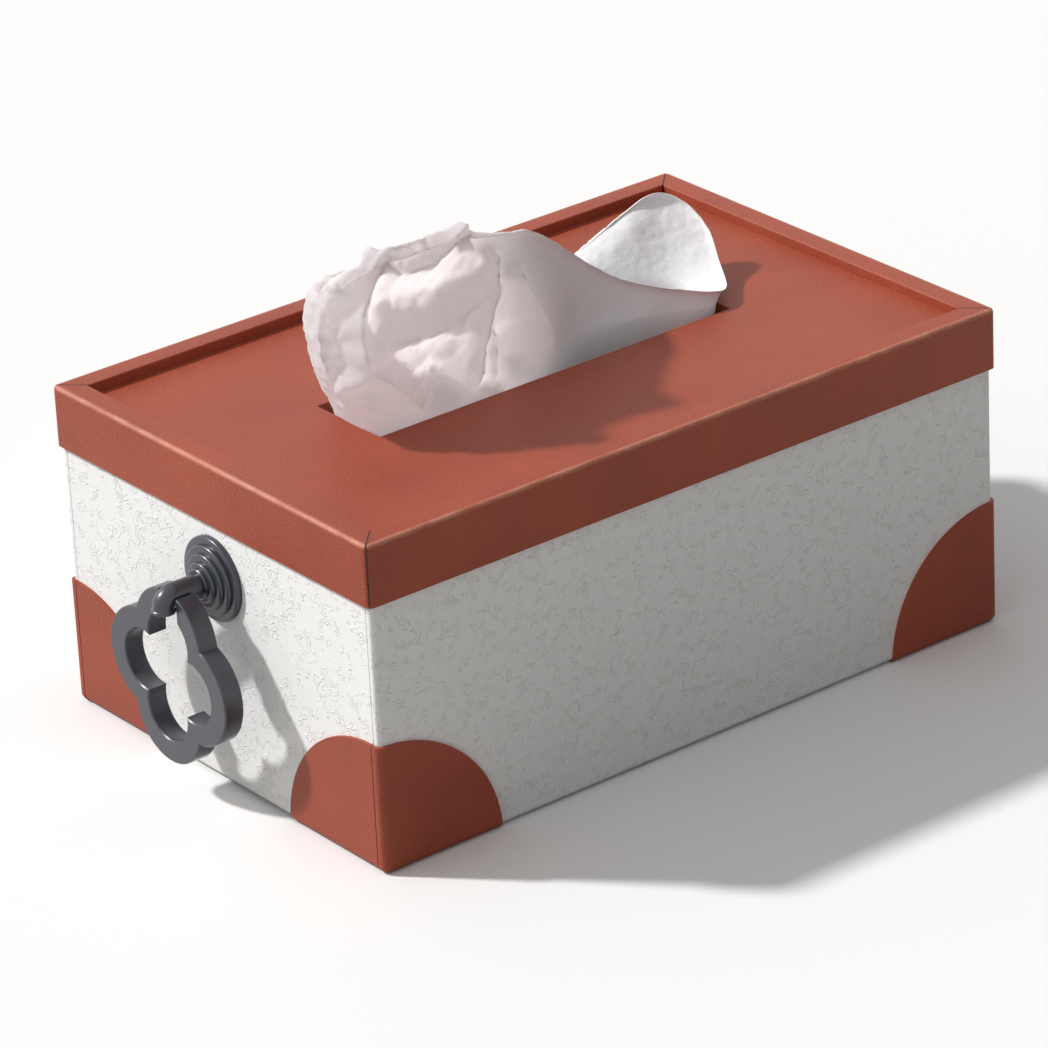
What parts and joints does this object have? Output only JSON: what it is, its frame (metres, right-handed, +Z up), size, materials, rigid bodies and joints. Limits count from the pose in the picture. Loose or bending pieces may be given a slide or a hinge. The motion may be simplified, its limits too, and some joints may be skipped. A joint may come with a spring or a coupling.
{
  "type": "tissue box with drawer",
  "caption": "Oblong tissue box with a recessed leather top and slot, white embossed sides, leather corner patches and a loading drawer opened by a quatrefoil drop ring.",
  "frame": {"origin": "centre of the base on the table", "axes": "+X along the length away from the pull, so the drawer opens towards -X; +Y to the rear long side; +Z up"},
  "size_m": [0.2721, 0.162, 0.17],
  "materials": {
    "terracotta_leather": "smooth terracotta leather, satin",
    "white_embossed_covering": "white leatherette embossed with short ridges, matt",
    "fibreboard": "medium density fibreboard, raw",
    "lining_paper": "lining paper, matt",
    "felt": "pressed felt",
    "black_enamel": "zinc casting, satin black enamel",
    "steel": "zinc plated steel",
    "tissue_paper": "soft crepe tissue"
  },
  "bodies": {
    "casing": {"side_board_front": "fibreboard", "side_board_rear": "fibreboard", "back_board": "fibreboard", "header_rail": "fibreboard", "base_board": "fibreboard", "top_panel_board": "fibreboard", "panel_batten_front": "fibreboard", "panel_batten_rear": "fibreboard", "panel_batten_back": "fibreboard", "body_covering": "white_embossed_covering", "casing_lining": "lining_paper", "top_panel_leather": "terracotta_leather", "top_band_leather": "terracotta_leather", "base_felt": "felt", "corner_patch_pull_end_front": "terracotta_leather", "corner_patch_pull_end_rear": "terracotta_leather", "corner_patch_closed_end_front": "terracotta_leather", "corner_patch_closed_end_rear": "terracotta_leather", "tissue_sheet": "tissue_paper"},
    "drawer": {"drawer_front_board": "fibreboard", "drawer_front_covering": "white_embossed_covering", "drawer_patch_front": "terracotta_leather", "drawer_patch_rear": "terracotta_leather", "tray_side_front": "fibreboard", "tray_side_rear": "fibreboard", "tray_back": "fibreboard", "tray_base": "fibreboard", "tray_lining": "lining_paper", "pull_rosette": "black_enamel", "pull_post": "black_enamel", "pull_pin": "steel", "pull_screw": "steel", "pull_washer": "steel", "tissue_stack": "tissue_paper"},
    "ring": {"pull_ring": "black_enamel"}
  },
  "joints": [
    {"name": "drawer_slide", "type": "slide", "parent": "casing", "child": "drawer", "axis": [-1, 0, 0], "range_m": [0, 0.19]},
    {"name": "ring_swing", "type": "hinge", "parent": "drawer", "child": "ring", "pos_m": [-0.13825, 0, 0.0694], "axis": [0, 1, 0], "range_deg": [-11, 180]}
  ]
}
